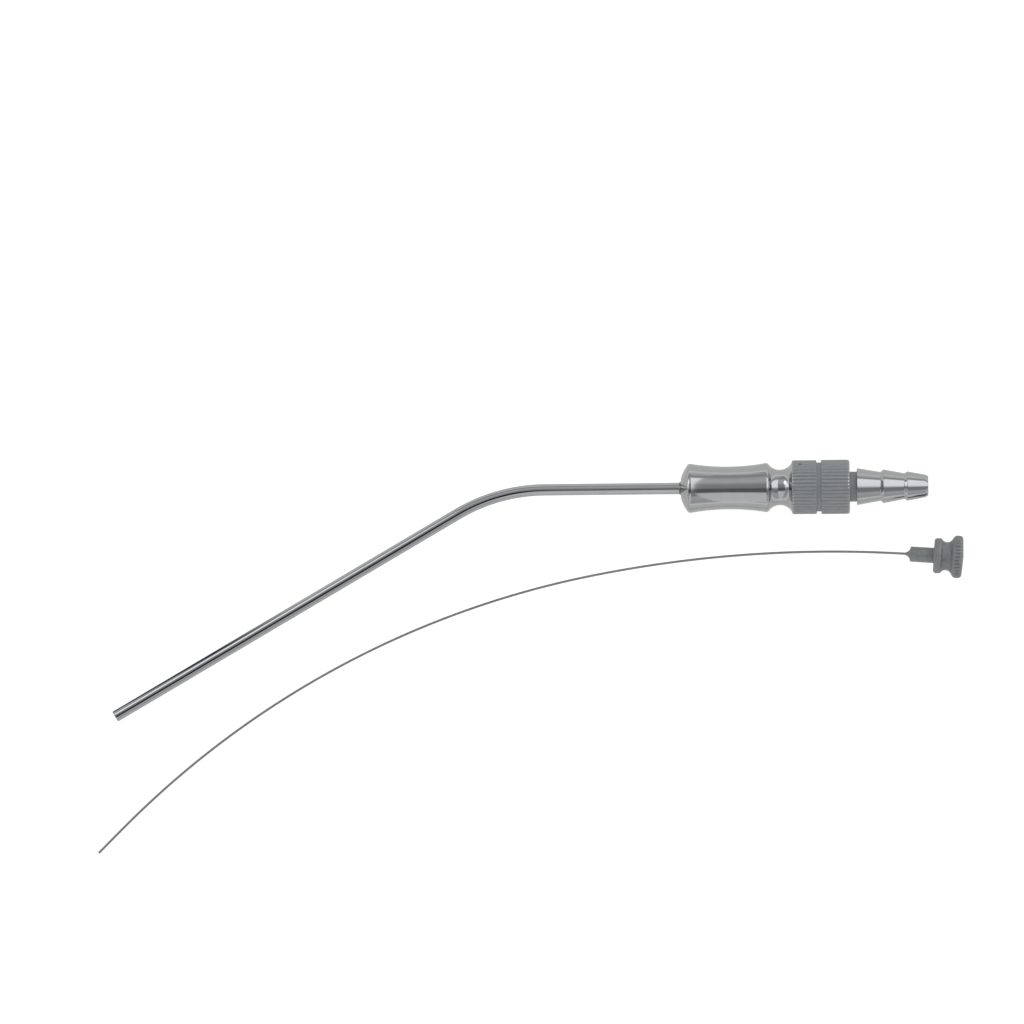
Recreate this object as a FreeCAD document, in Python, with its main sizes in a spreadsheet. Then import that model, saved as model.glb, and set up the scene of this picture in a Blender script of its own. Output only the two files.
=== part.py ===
import FreeCAD, Part
import math
import os
import Sketcher

os.makedirs("parts", exist_ok=True)

# Driving sizes in millimetres and degrees. Lengths along the grip run from its front face.
SIZES = {
    # tube
    "tubeDiameter": 3.0,
    "tubeWall": 0.3,
    "tubeSeat": 9.0,
    "tubeNear": 35.24,
    "tubeBendRadius": 45.0,
    "tubeBendAngle": 30.0,
    "tubeFar": 103.04,
    "tipChamfer": 0.1,
    # grip
    "brazeGap": 0.03,
    "faceRadius": 2.43,
    "domeCurve": 10.0,
    "domeRim": 6.22,
    "barrelFront": 2.4,
    "barrelRear": 22.15,
    "neckRim": 6.2,
    "waistPlace": 12.3,
    "waistRadius": 5.53,
    "waistCurve": 56.5,
    "neckPlace": 25.6,
    "neckRadius": 4.58,
    "neckCurve": 3.5,
    "ringRadius": 6.95,
    "ringFoot": 6.6,
    "gripLength": 36.05,
    "reliefRadius": 6.33,
    "reliefLength": 0.95,
    "channelRadius": 1.8,
    "socketRadius": 3.78,
    "socketDepth": 7.45,
    "socketChamfer": 0.3,
    "ventRadius": 1.25,
    "ventLip": 0.25,
    "dimpleBack": 4.2,
    "dimpleRadius": 0.5,
    "dimpleDepth": 0.35,
    # knurling
    "ringTeeth": 45,
    "knurlDepth": 0.28,
    "knurlAngle": 84.0,
    # solder and washer
    "solderMouth": 0.4,
    "solderDepth": 0.4,
    "solderRise": 0.45,
    "washerThickness": 1.0,
    "washerBore": 2.4,
    "washerGap": 0.2,
    # connector
    "threadGap": 0.03,
    "spigotChamfer": 0.35,
    "collarRadius": 7.0,
    "collarLength": 7.59,
    "collarFront": 0.25,
    "collarChamfer": 0.4,
    "neckLength": 1.86,
    "boreRadius": 2.1,
    "hoseNeckRadius": 3.88,
    "barbPitch": 6.15,
    "barbSlope": 0.7,
    "crestOne": 4.81,
    "rootOne": 3.74,
    "crestTwo": 4.4,
    "rootTwo": 3.35,
    "crestThree": 3.82,
    "rootThree": 2.94,
    "mouthRadius": 2.55,
    "mouthLength": 0.69,
    # stylet wire
    "wireDiameter": 0.62,
    "wireSeat": 8.0,
    "wireCurveOne": 316.7,
    "wireTurnOne": 14.93,
    "wireCurveTwo": 235.9,
    "wireTurnTwo": 33.82,
    "wireEnd": 9.0,
    # stylet knob
    "wireGap": 0.02,
    "noseRadius": 0.5,
    "noseLength": 0.93,
    "shankRadius": 1.97,
    "shankEnd": 7.0,
    "flangeRadius": 4.55,
    "flangeChamfer": 0.3,
    "groovePlace": 10.25,
    "grooveRadius": 3.63,
    "grooveCurve": 1.55,
    "grooveLip": 4.6,
    "headFront": 12.35,
    "headRadius": 5.5,
    "headEnd": 14.4,
    "headChamfer": 0.4,
    "headDome": 0.35,
    "headTeeth": 35,
    "headKnurlDepth": 0.3,
    # lie of the stylet beside the grip
    "knobAlong": 58.35,
    "knobAside": 17.6,
    "knobTurn": 4.05,
}

doc = FreeCAD.newDocument("SuctionTube")
sheet = doc.addObject("Spreadsheet::Sheet", "Sizes")
for row, (name, number) in enumerate(SIZES.items(), start=1):
    sheet.set(f"A{row}", name)
    sheet.set(f"B{row}", str(number))
    sheet.setAlias(f"B{row}", name)
doc.recompute()


# A number that keeps the sheet expression it was worked out from
class Size:
    def __init__(self, value, text):
        self.value = value
        self.text = text

    def __add__(self, other):
        return Size(self.value + other.value, f"({self.text} + {other.text})")

    def __sub__(self, other):
        return Size(self.value - other.value, f"({self.text} - {other.text})")

    def __mul__(self, number):
        return Size(self.value * number, f"({self.text} * {number})")

    def __truediv__(self, number):
        return Size(self.value / number, f"({self.text} / {number})")

    def __neg__(self):
        return Size(-self.value, f"(-{self.text})")


def size(name):
    return Size(float(SIZES[name]), f"Sizes.{name}")


zero = Size(0.0, "0")
upright = FreeCAD.Vector(0, 0, 1)
originPoint = (-1, 1)
axisX = -1
axisY = -2
matchGap = 0.01


def newBody(label):
    body = doc.addObject("PartDesign::Body", label)
    body.Label = label
    return body


def originFeature(body, role):
    return next(feature for feature in body.Origin.OriginFeatures if feature.Role == role)


def newSketch(body, name, role="XY_Plane", turn=0.0, offset=None):
    # turn swings the sketch's Y axis about the body's X axis, offset moves it along its normal
    sketch = body.newObject("Sketcher::SketchObject", name)
    sketch.AttachmentSupport = [(originFeature(body, role), "")]
    sketch.MapMode = "FlatFace"
    along = FreeCAD.Rotation(FreeCAD.Vector(1, 0, 0), turn)
    sketch.AttachmentOffset = FreeCAD.Placement(FreeCAD.Vector(), along)
    if offset:
        sketch.setExpression("AttachmentOffset.Base.z", offset.text)
    return sketch


def bind(sketch, kind, references, amount):
    index = sketch.addConstraint(Sketcher.Constraint(kind, *references, amount.value))
    sketch.setExpression(f"Constraints[{index}]", amount.text)


def pin(sketch, edge, end, x, y):
    # holds one point of an edge at x, y from the sketch's origin
    for kind, axis, amount in (("DistanceX", axisY, x), ("DistanceY", axisX, y)):
        if abs(amount.value) < 1e-9:
            sketch.addConstraint(Sketcher.Constraint("PointOnObject", edge, end, axis))
        elif amount.value > 0:
            bind(sketch, kind, (*originPoint, edge, end), amount)
        else:
            bind(sketch, kind, (edge, end, *originPoint), -amount)


def vector(x, y):
    return FreeCAD.Vector(x, y, 0)


def arcThrough(centre, start, end):
    # an arc of less than half a turn about centre, and which of its ends (1 or 2) is at start
    angles = [math.atan2(point[1] - centre[1], point[0] - centre[0]) for point in (start, end)]
    sweep = (angles[1] - angles[0]) % (2 * math.pi)
    forward = sweep < math.pi
    if not forward:
        angles.reverse()
    radius = math.hypot(start[0] - centre[0], start[1] - centre[1])
    circle = Part.Circle(vector(*centre), upright, radius)
    return Part.ArcOfCircle(circle, *angles), (1 if forward else 2)


# A closed outline drawn edge by edge. A corner is x, y as Sizes, pinned there unless it comes from near().
class Outline:
    def __init__(self, sketch, x, y):
        self.sketch = sketch
        self.first = (x, y)
        self.here = (x, y)
        self.links = []

    def addEdge(self, geometry, startEnd, x, y):
        edge = self.sketch.addGeometry(geometry, False)
        if self.links:
            self.join(self.links[-1][1:], edge, startEnd)
        if self.here[0].text:
            pin(self.sketch, edge, startEnd, *self.here)
        self.links.append((startEnd, edge, 3 - startEnd))
        self.here = (x, y)
        return edge

    def join(self, lastPoint, edge, end):
        self.sketch.addConstraint(Sketcher.Constraint("Coincident", *lastPoint, edge, end))

    def line(self, x, y):
        start = vector(self.here[0].value, self.here[1].value)
        geometry = Part.LineSegment(start, vector(x.value, y.value))
        return self.addEdge(geometry, 1, x, y)

    def arc(self, x, y, centreX, centreY, radius, pinned=True):
        centre = (centreX.value, centreY.value)
        start = (self.here[0].value, self.here[1].value)
        geometry, startEnd = arcThrough(centre, start, (x.value, y.value))
        edge = self.addEdge(geometry, startEnd, x, y)
        bind(self.sketch, "Radius", (edge,), radius)
        if pinned:
            pin(self.sketch, edge, 3, centreX, centreY)
        return edge

    def level(self, radius):
        # holds the last corner at a height
        bind(self.sketch, "DistanceY", (*originPoint, *self.links[-1][1:]), radius)

    def plumb(self, place):
        # holds the last corner at a place along the axis
        bind(self.sketch, "DistanceX", (*originPoint, *self.links[-1][1:]), place)

    def close(self):
        gap = [abs(now.value - then.value) for now, then in zip(self.here, self.first)]
        if max(gap) > matchGap:
            self.line(*self.first)
        self.join(self.links[-1][1:], self.links[0][1], self.links[0][0])


def revolve(body, sketch, name):
    solid = body.newObject("PartDesign::Revolution", name)
    solid.Profile = sketch
    solid.ReferenceAxis = (sketch, ["H_Axis"])
    solid.Angle = 360
    sketch.Visibility = False
    doc.recompute()
    return solid


def turned(label, corners):
    # a turned piece whose outline is straight from corner to corner
    body = newBody(label)
    sketch = newSketch(body, label + "Profile")
    outline = Outline(sketch, *corners[0])
    for corner in corners[1:]:
        outline.line(*corner)
    outline.close()
    revolve(body, sketch, label + "Turned")
    return body


def chamferRim(body, name, amount, centre, rim):
    # chamfers the full circle that has this centre and radius
    chosen = []
    for index, edge in enumerate(body.Shape.Edges, start=1):
        if not isinstance(edge.Curve, Part.Circle):
            continue
        if (edge.Curve.Center - centre).Length < matchGap and abs(edge.Curve.Radius - rim) < matchGap:
            chosen.append(f"Edge{index}")
    if len(chosen) != 1:
        raise RuntimeError(f"{name} found {len(chosen)} rims")
    base = body.Tip
    chamfer = body.newObject("PartDesign::Chamfer", name)
    chamfer.Base = (base, chosen)
    chamfer.setExpression("Size", amount.text)
    body.Tip = chamfer
    doc.recompute()


def knurl(body, name, rear, length, radius, depth, teeth):
    # straight knurling: one V groove cut forward from rear, repeated round the axis
    before = body.Shape.Volume
    sketch = newSketch(body, name + "Groove", "YZ_Plane", offset=rear)
    half = math.tan(math.radians(SIZES["knurlAngle"]) / 2)
    bottom = radius - depth
    top = radius + depth / 2
    reach = (top.value - bottom.value) * half
    corners = (vector(bottom.value, 0), vector(top.value, reach), vector(top.value, -reach))
    for index in range(3):
        sketch.addGeometry(Part.LineSegment(corners[index], corners[(index + 1) % 3]), False)
    for index in range(3):
        joint = Sketcher.Constraint("Coincident", index, 2, (index + 1) % 3, 1)
        sketch.addConstraint(joint)
    pin(sketch, 0, 1, bottom, zero)
    bind(sketch, "DistanceX", (*originPoint, 1, 1), top)
    sketch.addConstraint(Sketcher.Constraint("Vertical", 1))
    sketch.addConstraint(Sketcher.Constraint("Equal", 0, 2))
    bind(sketch, "Angle", (0, 1, 2, 2), Size(math.radians(SIZES["knurlAngle"]), "Sizes.knurlAngle"))
    cut = body.newObject("PartDesign::Pocket", name + "Cut")
    cut.Profile = sketch
    cut.Length = length.value
    cut.setExpression("Length", length.text)
    sketch.Visibility = False
    doc.recompute()
    if before - body.Shape.Volume < 1e-6:
        raise RuntimeError(f"{name} cuts nothing")
    pattern = body.newObject("PartDesign::PolarPattern", name)
    pattern.Originals = [cut]
    pattern.Axis = (originFeature(body, "X_Axis"), [""])
    pattern.Angle = 360
    pattern.Occurrences = SIZES[teeth]
    pattern.setExpression("Occurrences", f"Sizes.{teeth}")
    body.Tip = pattern
    doc.recompute()


def drill(body, name, place, outline, turn):
    # a radial hole, from its half outline: out from the hole's own axis, up from the grip's axis
    sketch = newSketch(body, name + "Profile", turn=turn)
    axis = sketch.addGeometry(Part.LineSegment(vector(place.value, 0), vector(place.value, 1)), True)
    pin(sketch, axis, 1, place, zero)
    sketch.addConstraint(Sketcher.Constraint("Vertical", axis))
    bind(sketch, "DistanceY", (axis, 1, axis, 2), Size(1.0, "1"))
    shape = None
    for out, up in outline:
        corner = (place + out, up)
        if shape is None:
            shape = Outline(sketch, *corner)
        else:
            shape.line(*corner)
    shape.close()
    groove = body.newObject("PartDesign::Groove", name)
    groove.Profile = sketch
    groove.ReferenceAxis = (sketch, ["Axis0"])
    groove.Angle = 360
    sketch.Visibility = False
    before = body.Shape.Volume
    doc.recompute()
    if before - body.Shape.Volume < 1e-6:
        raise RuntimeError(f"{name} cuts nothing")


def sweep(body, name, kind, path, radius):
    # a round profile on the body's YZ plane, carried along the path
    profile = newSketch(body, name + "Profile", "YZ_Plane")
    circle = Part.Circle(vector(0, 0), upright, radius.value)
    edge = profile.addGeometry(circle, False)
    profile.addConstraint(Sketcher.Constraint("Coincident", edge, 3, *originPoint))
    bind(profile, "Radius", (edge,), radius)
    pipe = body.newObject(kind, name)
    pipe.Profile = profile
    pipe.Spine = (path, [f"Edge{index + 1}" for index in range(path.GeometryCount)])
    profile.Visibility = False
    doc.recompute()


def bentPath(body, name, first, bends, last):
    # a route that leaves the origin along -X: a straight, bends of (radius, turn) towards -Y, a straight
    sketch = newSketch(body, name)
    heading = math.pi
    here = vector(-first.value, 0)
    edge = sketch.addGeometry(Part.LineSegment(vector(0, 0), here), False)
    sketch.addConstraint(Sketcher.Constraint("Coincident", edge, 1, *originPoint))
    sketch.addConstraint(Sketcher.Constraint("Horizontal", edge))
    bind(sketch, "Distance", (edge,), first)
    reached = (edge, 2)
    for radius, turn in bends:
        inward = heading + math.pi / 2
        centre = here + vector(math.cos(inward), math.sin(inward)) * radius.value
        start = inward - math.pi
        end = start + math.radians(turn.value)
        circle = Part.Circle(centre, upright, radius.value)
        bend = sketch.addGeometry(Part.ArcOfCircle(circle, start, end), False)
        sketch.addConstraint(Sketcher.Constraint("Tangent", *reached, bend, 1))
        bind(sketch, "Radius", (bend,), radius)
        opening = Size(math.radians(turn.value), turn.text)
        bind(sketch, "Angle", (bend,), opening)
        heading += math.radians(turn.value)
        here = centre + vector(math.cos(end), math.sin(end)) * radius.value
        reached = (bend, 2)
    tail = here + vector(math.cos(heading), math.sin(heading)) * last.value
    straight = sketch.addGeometry(Part.LineSegment(here, tail), False)
    sketch.addConstraint(Sketcher.Constraint("Tangent", *reached, straight, 1))
    bind(sketch, "Distance", (straight,), last)
    sketch.Visibility = False
    doc.recompute()
    return sketch


def near(x, y):
    # a corner that other constraints settle
    return Size(x, None), Size(y, None)


def domeCentre():
    return math.sqrt(SIZES["domeCurve"] ** 2 - SIZES["faceRadius"] ** 2)


def arcHalf(radius, height):
    # how far along an arc's centre line it reaches at a height from its centre
    return math.sqrt(radius.value**2 - height.value**2)


def barrelRim(place):
    # a point of the barrel's hollow curve
    along = size("waistPlace") - size(place)
    centre = SIZES["waistRadius"] + SIZES["waistCurve"]
    return SIZES[place], centre - arcHalf(size("waistCurve"), along)


def shaftTube():
    body = newBody("shaft_tube")
    bends = [(size("tubeBendRadius"), size("tubeBendAngle"))]
    path = bentPath(body, "tubePath", size("tubeSeat") + size("tubeNear"), bends, size("tubeFar"))
    outer = size("tubeDiameter") / 2
    sweep(body, "tubeOuter", "PartDesign::AdditivePipe", path, outer)
    before = body.Shape.Volume
    sweep(body, "tubeBore", "PartDesign::SubtractivePipe", path, outer - size("tubeWall"))
    if body.Shape.Volume > before * 0.9:
        raise RuntimeError("the tube has no bore")
    tip = path.Geometry[-1].EndPoint
    chamferRim(body, "tipChamfer", size("tipChamfer"), tip, outer.value)
    return body


def handleGrip():
    body = newBody("handle_grip")
    sketch = newSketch(body, "gripProfile")
    seatRadius = size("tubeDiameter") / 2 + size("brazeGap")
    face = size("faceRadius")
    dome = size("domeCurve")
    waistX = size("waistPlace")
    waistY = size("waistRadius") + size("waistCurve")
    neckX = size("neckPlace")
    neckY = size("neckRadius") + size("neckCurve")
    ring = size("ringRadius")
    foot = size("ringFoot")
    ringEnd = size("gripLength") - size("reliefLength")
    length = size("gripLength")
    socket = size("socketRadius")
    mouth = size("socketChamfer")
    frontX, frontY = barrelRim("barrelFront")
    rearX, rearY = barrelRim("barrelRear")
    rimX = neckX.value - arcHalf(size("neckCurve"), neckY - size("neckRim"))
    ringX = neckX.value + arcHalf(size("neckCurve"), neckY - foot)
    domeX = domeCentre()
    domeEndX = domeX - arcHalf(dome, size("domeRim"))

    outline = Outline(sketch, zero, seatRadius + size("solderMouth"))
    outline.line(zero, face)
    domeEdge = outline.arc(*near(domeEndX, SIZES["domeRim"]), *near(domeX, 0.0), dome, pinned=False)
    sketch.addConstraint(Sketcher.Constraint("PointOnObject", domeEdge, 3, axisX))
    outline.level(size("domeRim"))
    outline.line(*near(frontX, frontY))
    outline.plumb(size("barrelFront"))
    outline.arc(*near(rearX, rearY), waistX, waistY, size("waistCurve"))
    outline.plumb(size("barrelRear"))
    outline.line(*near(rimX, SIZES["neckRim"]))
    outline.level(size("neckRim"))
    outline.arc(*near(ringX, foot.value), neckX, neckY, size("neckCurve"))
    outline.level(foot)
    ringFace = outline.line(*near(ringX, ring.value))
    sketch.addConstraint(Sketcher.Constraint("Vertical", ringFace))
    outline.line(ringEnd, ring)
    outline.line(ringEnd, size("reliefRadius"))
    outline.line(length, size("reliefRadius"))
    outline.line(length, socket + mouth)
    outline.line(length - mouth, socket)
    outline.line(length - size("socketDepth"), socket)
    outline.line(length - size("socketDepth"), size("channelRadius"))
    outline.line(size("tubeSeat"), size("channelRadius"))
    outline.line(size("tubeSeat"), seatRadius)
    outline.line(size("solderDepth"), seatRadius)
    outline.close()
    revolve(body, sketch, "gripTurned")

    width = ringEnd - size("neckPlace")
    knurl(body, "frontKnurl", ringEnd, width, ring, size("knurlDepth"), "ringTeeth")

    ventRadius = size("ventRadius")
    lip = size("ventLip")
    waist = size("waistRadius")
    ventOutline = [
        (zero, zero),
        (ventRadius, zero),
        (ventRadius, waist - lip),
        (ventRadius + lip * 3, waist + lip * 2),
        (zero, waist + lip * 2),
    ]
    drill(body, "fingerVent", size("waistPlace"), ventOutline, -90.0)
    dimpleOutline = [
        (zero, ring - size("dimpleDepth") - size("dimpleRadius") / 2),
        (size("dimpleRadius"), ring - size("dimpleDepth")),
        (size("dimpleRadius"), ring + size("dimpleDepth")),
        (zero, ring + size("dimpleDepth")),
    ]
    drill(body, "markDimple", ringEnd - size("dimpleBack"), dimpleOutline, 28.0)
    return body


def solderRing():
    body = newBody("solder_ring")
    sketch = newSketch(body, "solderProfile")
    tube = size("tubeDiameter") / 2
    seat = tube + size("brazeGap")
    mouth = seat + size("solderMouth")
    outline = Outline(sketch, -size("solderRise"), tube)
    outline.line(zero, mouth)
    outline.line(size("solderDepth"), seat)
    outline.line(size("solderDepth"), tube)
    outline.close()
    revolve(body, sketch, "solderBead")
    return body


def sealWasher():
    floor = size("gripLength") - size("socketDepth")
    top = floor + size("washerThickness")
    outer = size("socketRadius") - size("washerGap")
    inner = size("washerBore")
    return turned("seal_washer", [(floor, inner), (floor, outer), (top, outer), (top, inner)])


def hoseConnector():
    spigot = size("socketRadius") - size("threadGap")
    front = size("gripLength") - size("socketDepth") + size("washerThickness")
    joint = size("gripLength")
    rear = joint + size("collarLength")
    collar = size("collarRadius")
    bevel = size("spigotChamfer")
    chamfer = size("collarChamfer")
    neck = size("hoseNeckRadius")
    bore = size("boreRadius")
    corners = [
        (front, bore),
        (front, spigot - bevel),
        (front + bevel, spigot),
        (joint, spigot),
        (joint, size("reliefRadius")),
        (joint + size("collarFront"), size("reliefRadius")),
        (joint + size("collarFront"), collar),
        (rear - chamfer, collar),
        (rear, collar - chamfer),
        (rear, neck),
    ]
    barbStart = rear + size("neckLength")
    corners.append((barbStart, neck))
    corners.append((barbStart, size("crestOne")))
    barbEnd = barbStart + size("barbPitch")
    corners.append((barbEnd, size("rootOne")))
    for crest, root in (("crestTwo", "rootTwo"), ("crestThree", "rootThree")):
        corners.append((barbEnd + size("barbSlope"), size(crest)))
        barbEnd = barbEnd + size("barbPitch")
        last = barbEnd if crest == "crestTwo" else barbEnd - size("mouthLength")
        corners.append((last, size(root)))
    corners.append((barbEnd, size("mouthRadius")))
    corners.append((barbEnd, bore))
    body = turned("hose_connector", corners)
    knurl(body, "rearKnurl", rear, size("collarLength"), collar, size("knurlDepth"), "ringTeeth")
    return body


def styletWire():
    body = newBody("stylet_wire")
    bends = [
        (size("wireCurveOne"), size("wireTurnOne")),
        (size("wireCurveTwo"), size("wireTurnTwo")),
    ]
    path = bentPath(body, "wirePath", size("wireSeat"), bends, size("wireEnd"))
    sweep(body, "wireRod", "PartDesign::AdditivePipe", path, size("wireDiameter") / 2)
    return body


def styletKnob():
    body = newBody("stylet_knob")
    sketch = newSketch(body, "knobProfile")
    bore = size("wireDiameter") / 2 + size("wireGap")
    shank = size("shankRadius")
    shankEnd = size("shankEnd")
    flange = size("flangeRadius")
    curve = size("grooveCurve")
    grooveX = size("groovePlace")
    grooveY = size("grooveRadius") + curve
    lip = size("grooveLip")
    head = size("headRadius")
    headEnd = size("headEnd")
    flangeX = grooveX.value - arcHalf(curve, grooveY - flange)
    lipX = grooveX.value + arcHalf(curve, grooveY - lip)
    chamfer = size("headChamfer")
    flangeChamfer = size("flangeChamfer")

    outline = Outline(sketch, zero, bore)
    outline.line(zero, size("noseRadius"))
    outline.line(size("noseLength"), shank)
    outline.line(shankEnd, shank)
    outline.line(shankEnd, flange - flangeChamfer)
    outline.line(shankEnd + flangeChamfer, flange)
    flangeEdge = outline.line(*near(flangeX, flange.value))
    sketch.addConstraint(Sketcher.Constraint("Horizontal", flangeEdge))
    outline.arc(*near(lipX, lip.value), grooveX, grooveY, curve)
    outline.level(lip)
    outline.line(size("headFront"), head)
    outline.line(headEnd - chamfer, head)
    outline.line(headEnd, head - chamfer)
    outline.line(headEnd + size("headDome"), zero)
    outline.line(size("wireSeat"), zero)
    outline.line(size("wireSeat"), bore)
    outline.close()
    revolve(body, sketch, "knobTurned")
    length = headEnd - size("headFront") + chamfer
    knurl(body, "headKnurl", headEnd, length, head, size("headKnurlDepth"), "headTeeth")
    return body


def turnAbout(x, y, z, angle):
    return FreeCAD.Rotation(FreeCAD.Vector(x, y, z), math.degrees(angle))


def instrumentLie():
    # the grip lies on its front rim and its front ring, rolled until the tube's tip touches too
    rimX, rimY = barrelRim("barrelFront")
    footDrop = size("neckRadius") + size("neckCurve") - size("ringFoot")
    ringX = SIZES["neckPlace"] + arcHalf(size("neckCurve"), footDrop)
    pitch = math.atan2(SIZES["ringRadius"] - rimY, ringX - rimX)
    height = SIZES["ringRadius"] * math.cos(pitch) - ringX * math.sin(pitch)
    bend = math.radians(SIZES["tubeBendAngle"])
    corner = SIZES["tubeBendRadius"] * math.tan(bend / 2)
    tipX = -SIZES["tubeNear"] - corner - (corner + SIZES["tubeFar"]) * math.cos(bend)
    tipY = -(corner + SIZES["tubeFar"]) * math.sin(bend)
    drop = height + tipX * math.sin(pitch) - SIZES["tubeDiameter"] / 2
    roll = math.asin(drop / (-tipY * math.cos(pitch)))
    rotation = turnAbout(0, 1, 0, -pitch) * turnAbout(1, 0, 0, roll)
    return FreeCAD.Placement(FreeCAD.Vector(0, 0, height), rotation)


def styletLie():
    # the wire's straight end lies on the table, and the curve leans up from it until the head's rim touches
    turnOne = math.radians(SIZES["wireTurnOne"])
    turnAll = turnOne + math.radians(SIZES["wireTurnTwo"])
    curveOne = SIZES["wireCurveOne"]
    curveTwo = SIZES["wireCurveTwo"]
    endX = -curveOne * math.sin(turnOne) - curveTwo * (math.sin(turnAll) - math.sin(turnOne))
    endY = -curveOne * (1 - math.cos(turnOne)) - curveTwo * (math.cos(turnOne) - math.cos(turnAll))
    headX = SIZES["headFront"]
    reach = (headX - endX) * math.sin(turnAll) + endY * math.cos(turnAll)
    rim = SIZES["headRadius"]
    wire = SIZES["wireDiameter"] / 2
    square = reach**2 + (rim * math.sin(turnAll)) ** 2
    lean = (math.sqrt((reach * wire) ** 2 - square * (wire**2 - rim**2)) - reach * wire) / square
    rise = turnAbout(-math.cos(turnAll), -math.sin(turnAll), 0, math.asin(lean))
    leaning = FreeCAD.Placement(FreeCAD.Vector(), rise, vector(endX, endY))
    turn = turnAbout(0, 0, 1, -math.radians(SIZES["knobTurn"]))
    place = FreeCAD.Vector(SIZES["knobAlong"], -SIZES["knobAside"], wire)
    return FreeCAD.Placement(place, turn) * leaning


instrument = instrumentLie()
stylet = styletLie()
seat = FreeCAD.Placement(FreeCAD.Vector(SIZES["tubeSeat"], 0, 0), FreeCAD.Rotation())
wireSeat = FreeCAD.Placement(FreeCAD.Vector(SIZES["wireSeat"], 0, 0), FreeCAD.Rotation())
pieces = {
    shaftTube(): instrument * seat,
    handleGrip(): instrument,
    solderRing(): instrument,
    sealWasher(): instrument,
    hoseConnector(): instrument,
    styletWire(): stylet * wireSeat,
    styletKnob(): stylet,
}
for body, placement in pieces.items():
    body.Placement = placement
doc.recompute()

# The frame's origin is the middle of the whole, on the table
bounds = FreeCAD.BoundBox()
for body in pieces:
    bounds.add(body.Shape.optimalBoundingBox(False, False))
shift = FreeCAD.Placement(FreeCAD.Vector(-bounds.Center.x, -bounds.Center.y, 0), FreeCAD.Rotation())
for body in pieces:
    body.Placement = shift * body.Placement
doc.recompute()

for item in doc.Objects:
    if "Invalid" in item.State or "Error" in item.State:
        raise RuntimeError(f"{item.Label} did not build: {item.State}")
for body in pieces:
    if body.Shape.isNull() or not body.Shape.isValid():
        raise RuntimeError(f"{body.Label} is not a valid solid")
for body in pieces:
    body.Shape.exportStep(f"parts/{body.Label}.step")
print("bounds", bounds)
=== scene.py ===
import math

import bmesh
import bpy
from mathutils import Euler, Matrix, Vector


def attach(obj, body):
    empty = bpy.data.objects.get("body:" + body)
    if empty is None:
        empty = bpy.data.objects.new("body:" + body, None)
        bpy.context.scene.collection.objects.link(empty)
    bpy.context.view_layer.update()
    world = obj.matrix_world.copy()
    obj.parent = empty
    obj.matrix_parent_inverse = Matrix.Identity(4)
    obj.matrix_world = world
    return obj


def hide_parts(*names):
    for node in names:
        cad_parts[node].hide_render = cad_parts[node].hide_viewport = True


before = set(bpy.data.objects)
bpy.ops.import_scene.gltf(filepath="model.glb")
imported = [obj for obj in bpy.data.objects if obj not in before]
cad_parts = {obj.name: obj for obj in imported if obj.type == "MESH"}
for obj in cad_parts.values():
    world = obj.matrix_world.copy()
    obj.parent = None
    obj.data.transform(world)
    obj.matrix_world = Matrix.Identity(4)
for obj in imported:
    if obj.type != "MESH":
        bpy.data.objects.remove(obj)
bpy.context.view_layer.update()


def linear(hexColour):
    channels = [int(hexColour[i:i + 2], 16) / 255 for i in (1, 3, 5)]
    return [c / 12.92 if c <= 0.04045 else ((c + 0.055) / 1.055) ** 2.4 for c in channels] + [1.0]


def addNode(tree, kind, settings=None, links=None):
    # a setting goes to the socket of that name, or else to the node's own property
    node = tree.nodes.new(kind)
    for name, value in (settings or {}).items():
        if isinstance(name, int) or name in node.inputs:
            node.inputs[name].default_value = value
        else:
            setattr(node, name, value)
    for name, source in (links or {}).items():
        tree.links.new(source, node.inputs[name])
    return node


# Where things lie, as in the CAD: millimetres, and degrees of roll, pitch and yaw
instrumentLie = {"place": (39.3942, 43.0175, 6.3531), "turn": (1.80405, -1.18585, 0.0)}
styletLie = {"place": (97.6609, 25.5016, 5.0308), "turn": (-1.89466, -2.15903, -4.0143)}


def lieMatrix(lie):
    turn = Euler([math.radians(angle) for angle in lie["turn"]])
    return Matrix.LocRotScale(Vector(lie["place"]) / 1000, turn, Vector((0.001, 0.001, 0.001)))


# Pieces are drawn and turned in millimetres, with their own axis along X
def drawProfile(mesh, start, runs):
    # "to" x, radius, how far back the corner is rounded; "arc" centre x, centre radius, end x, end radius, steps
    corner = mesh.verts.new((start[0], start[1], 0))
    rounded = []
    for run in runs:
        if run[0] == "to":
            corner = bmesh.ops.extrude_vert_indiv(mesh, verts=[corner])["verts"][0]
            corner.co = (run[1], run[2], 0)
            if len(run) > 3:
                rounded.append((corner, run[3]))
        else:
            centre = Vector((run[1], run[2], 0))
            here, there = corner.co - centre, Vector((run[3], run[4], 0)) - centre
            swing = here.xy.angle_signed(there.xy)
            swung = bmesh.ops.spin(mesh, geom=[corner], cent=centre, axis=(0, 0, 1), angle=-swing,
                                   steps=run[5], use_merge=False, use_duplicate=False)
            corner = next(g for g in swung["geom_last"] if isinstance(g, bmesh.types.BMVert))
            if len(run) > 6:
                rounded.append((corner, run[6]))
    bmesh.ops.remove_doubles(mesh, verts=mesh.verts, dist=1e-4)
    for corner, back in rounded:
        bmesh.ops.bevel(mesh, geom=[corner], offset=back, offset_type="OFFSET", segments=4, profile=0.5,
                        affect="VERTICES", material=-1)


def turnProfile(mesh, steps):
    bmesh.ops.spin(mesh, geom=mesh.verts[:] + mesh.edges[:], cent=(0, 0, 0), axis=(1, 0, 0),
                   angle=2 * math.pi, steps=steps, use_merge=True, use_duplicate=False)
    bmesh.ops.remove_doubles(mesh, verts=mesh.verts, dist=1e-4)


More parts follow.
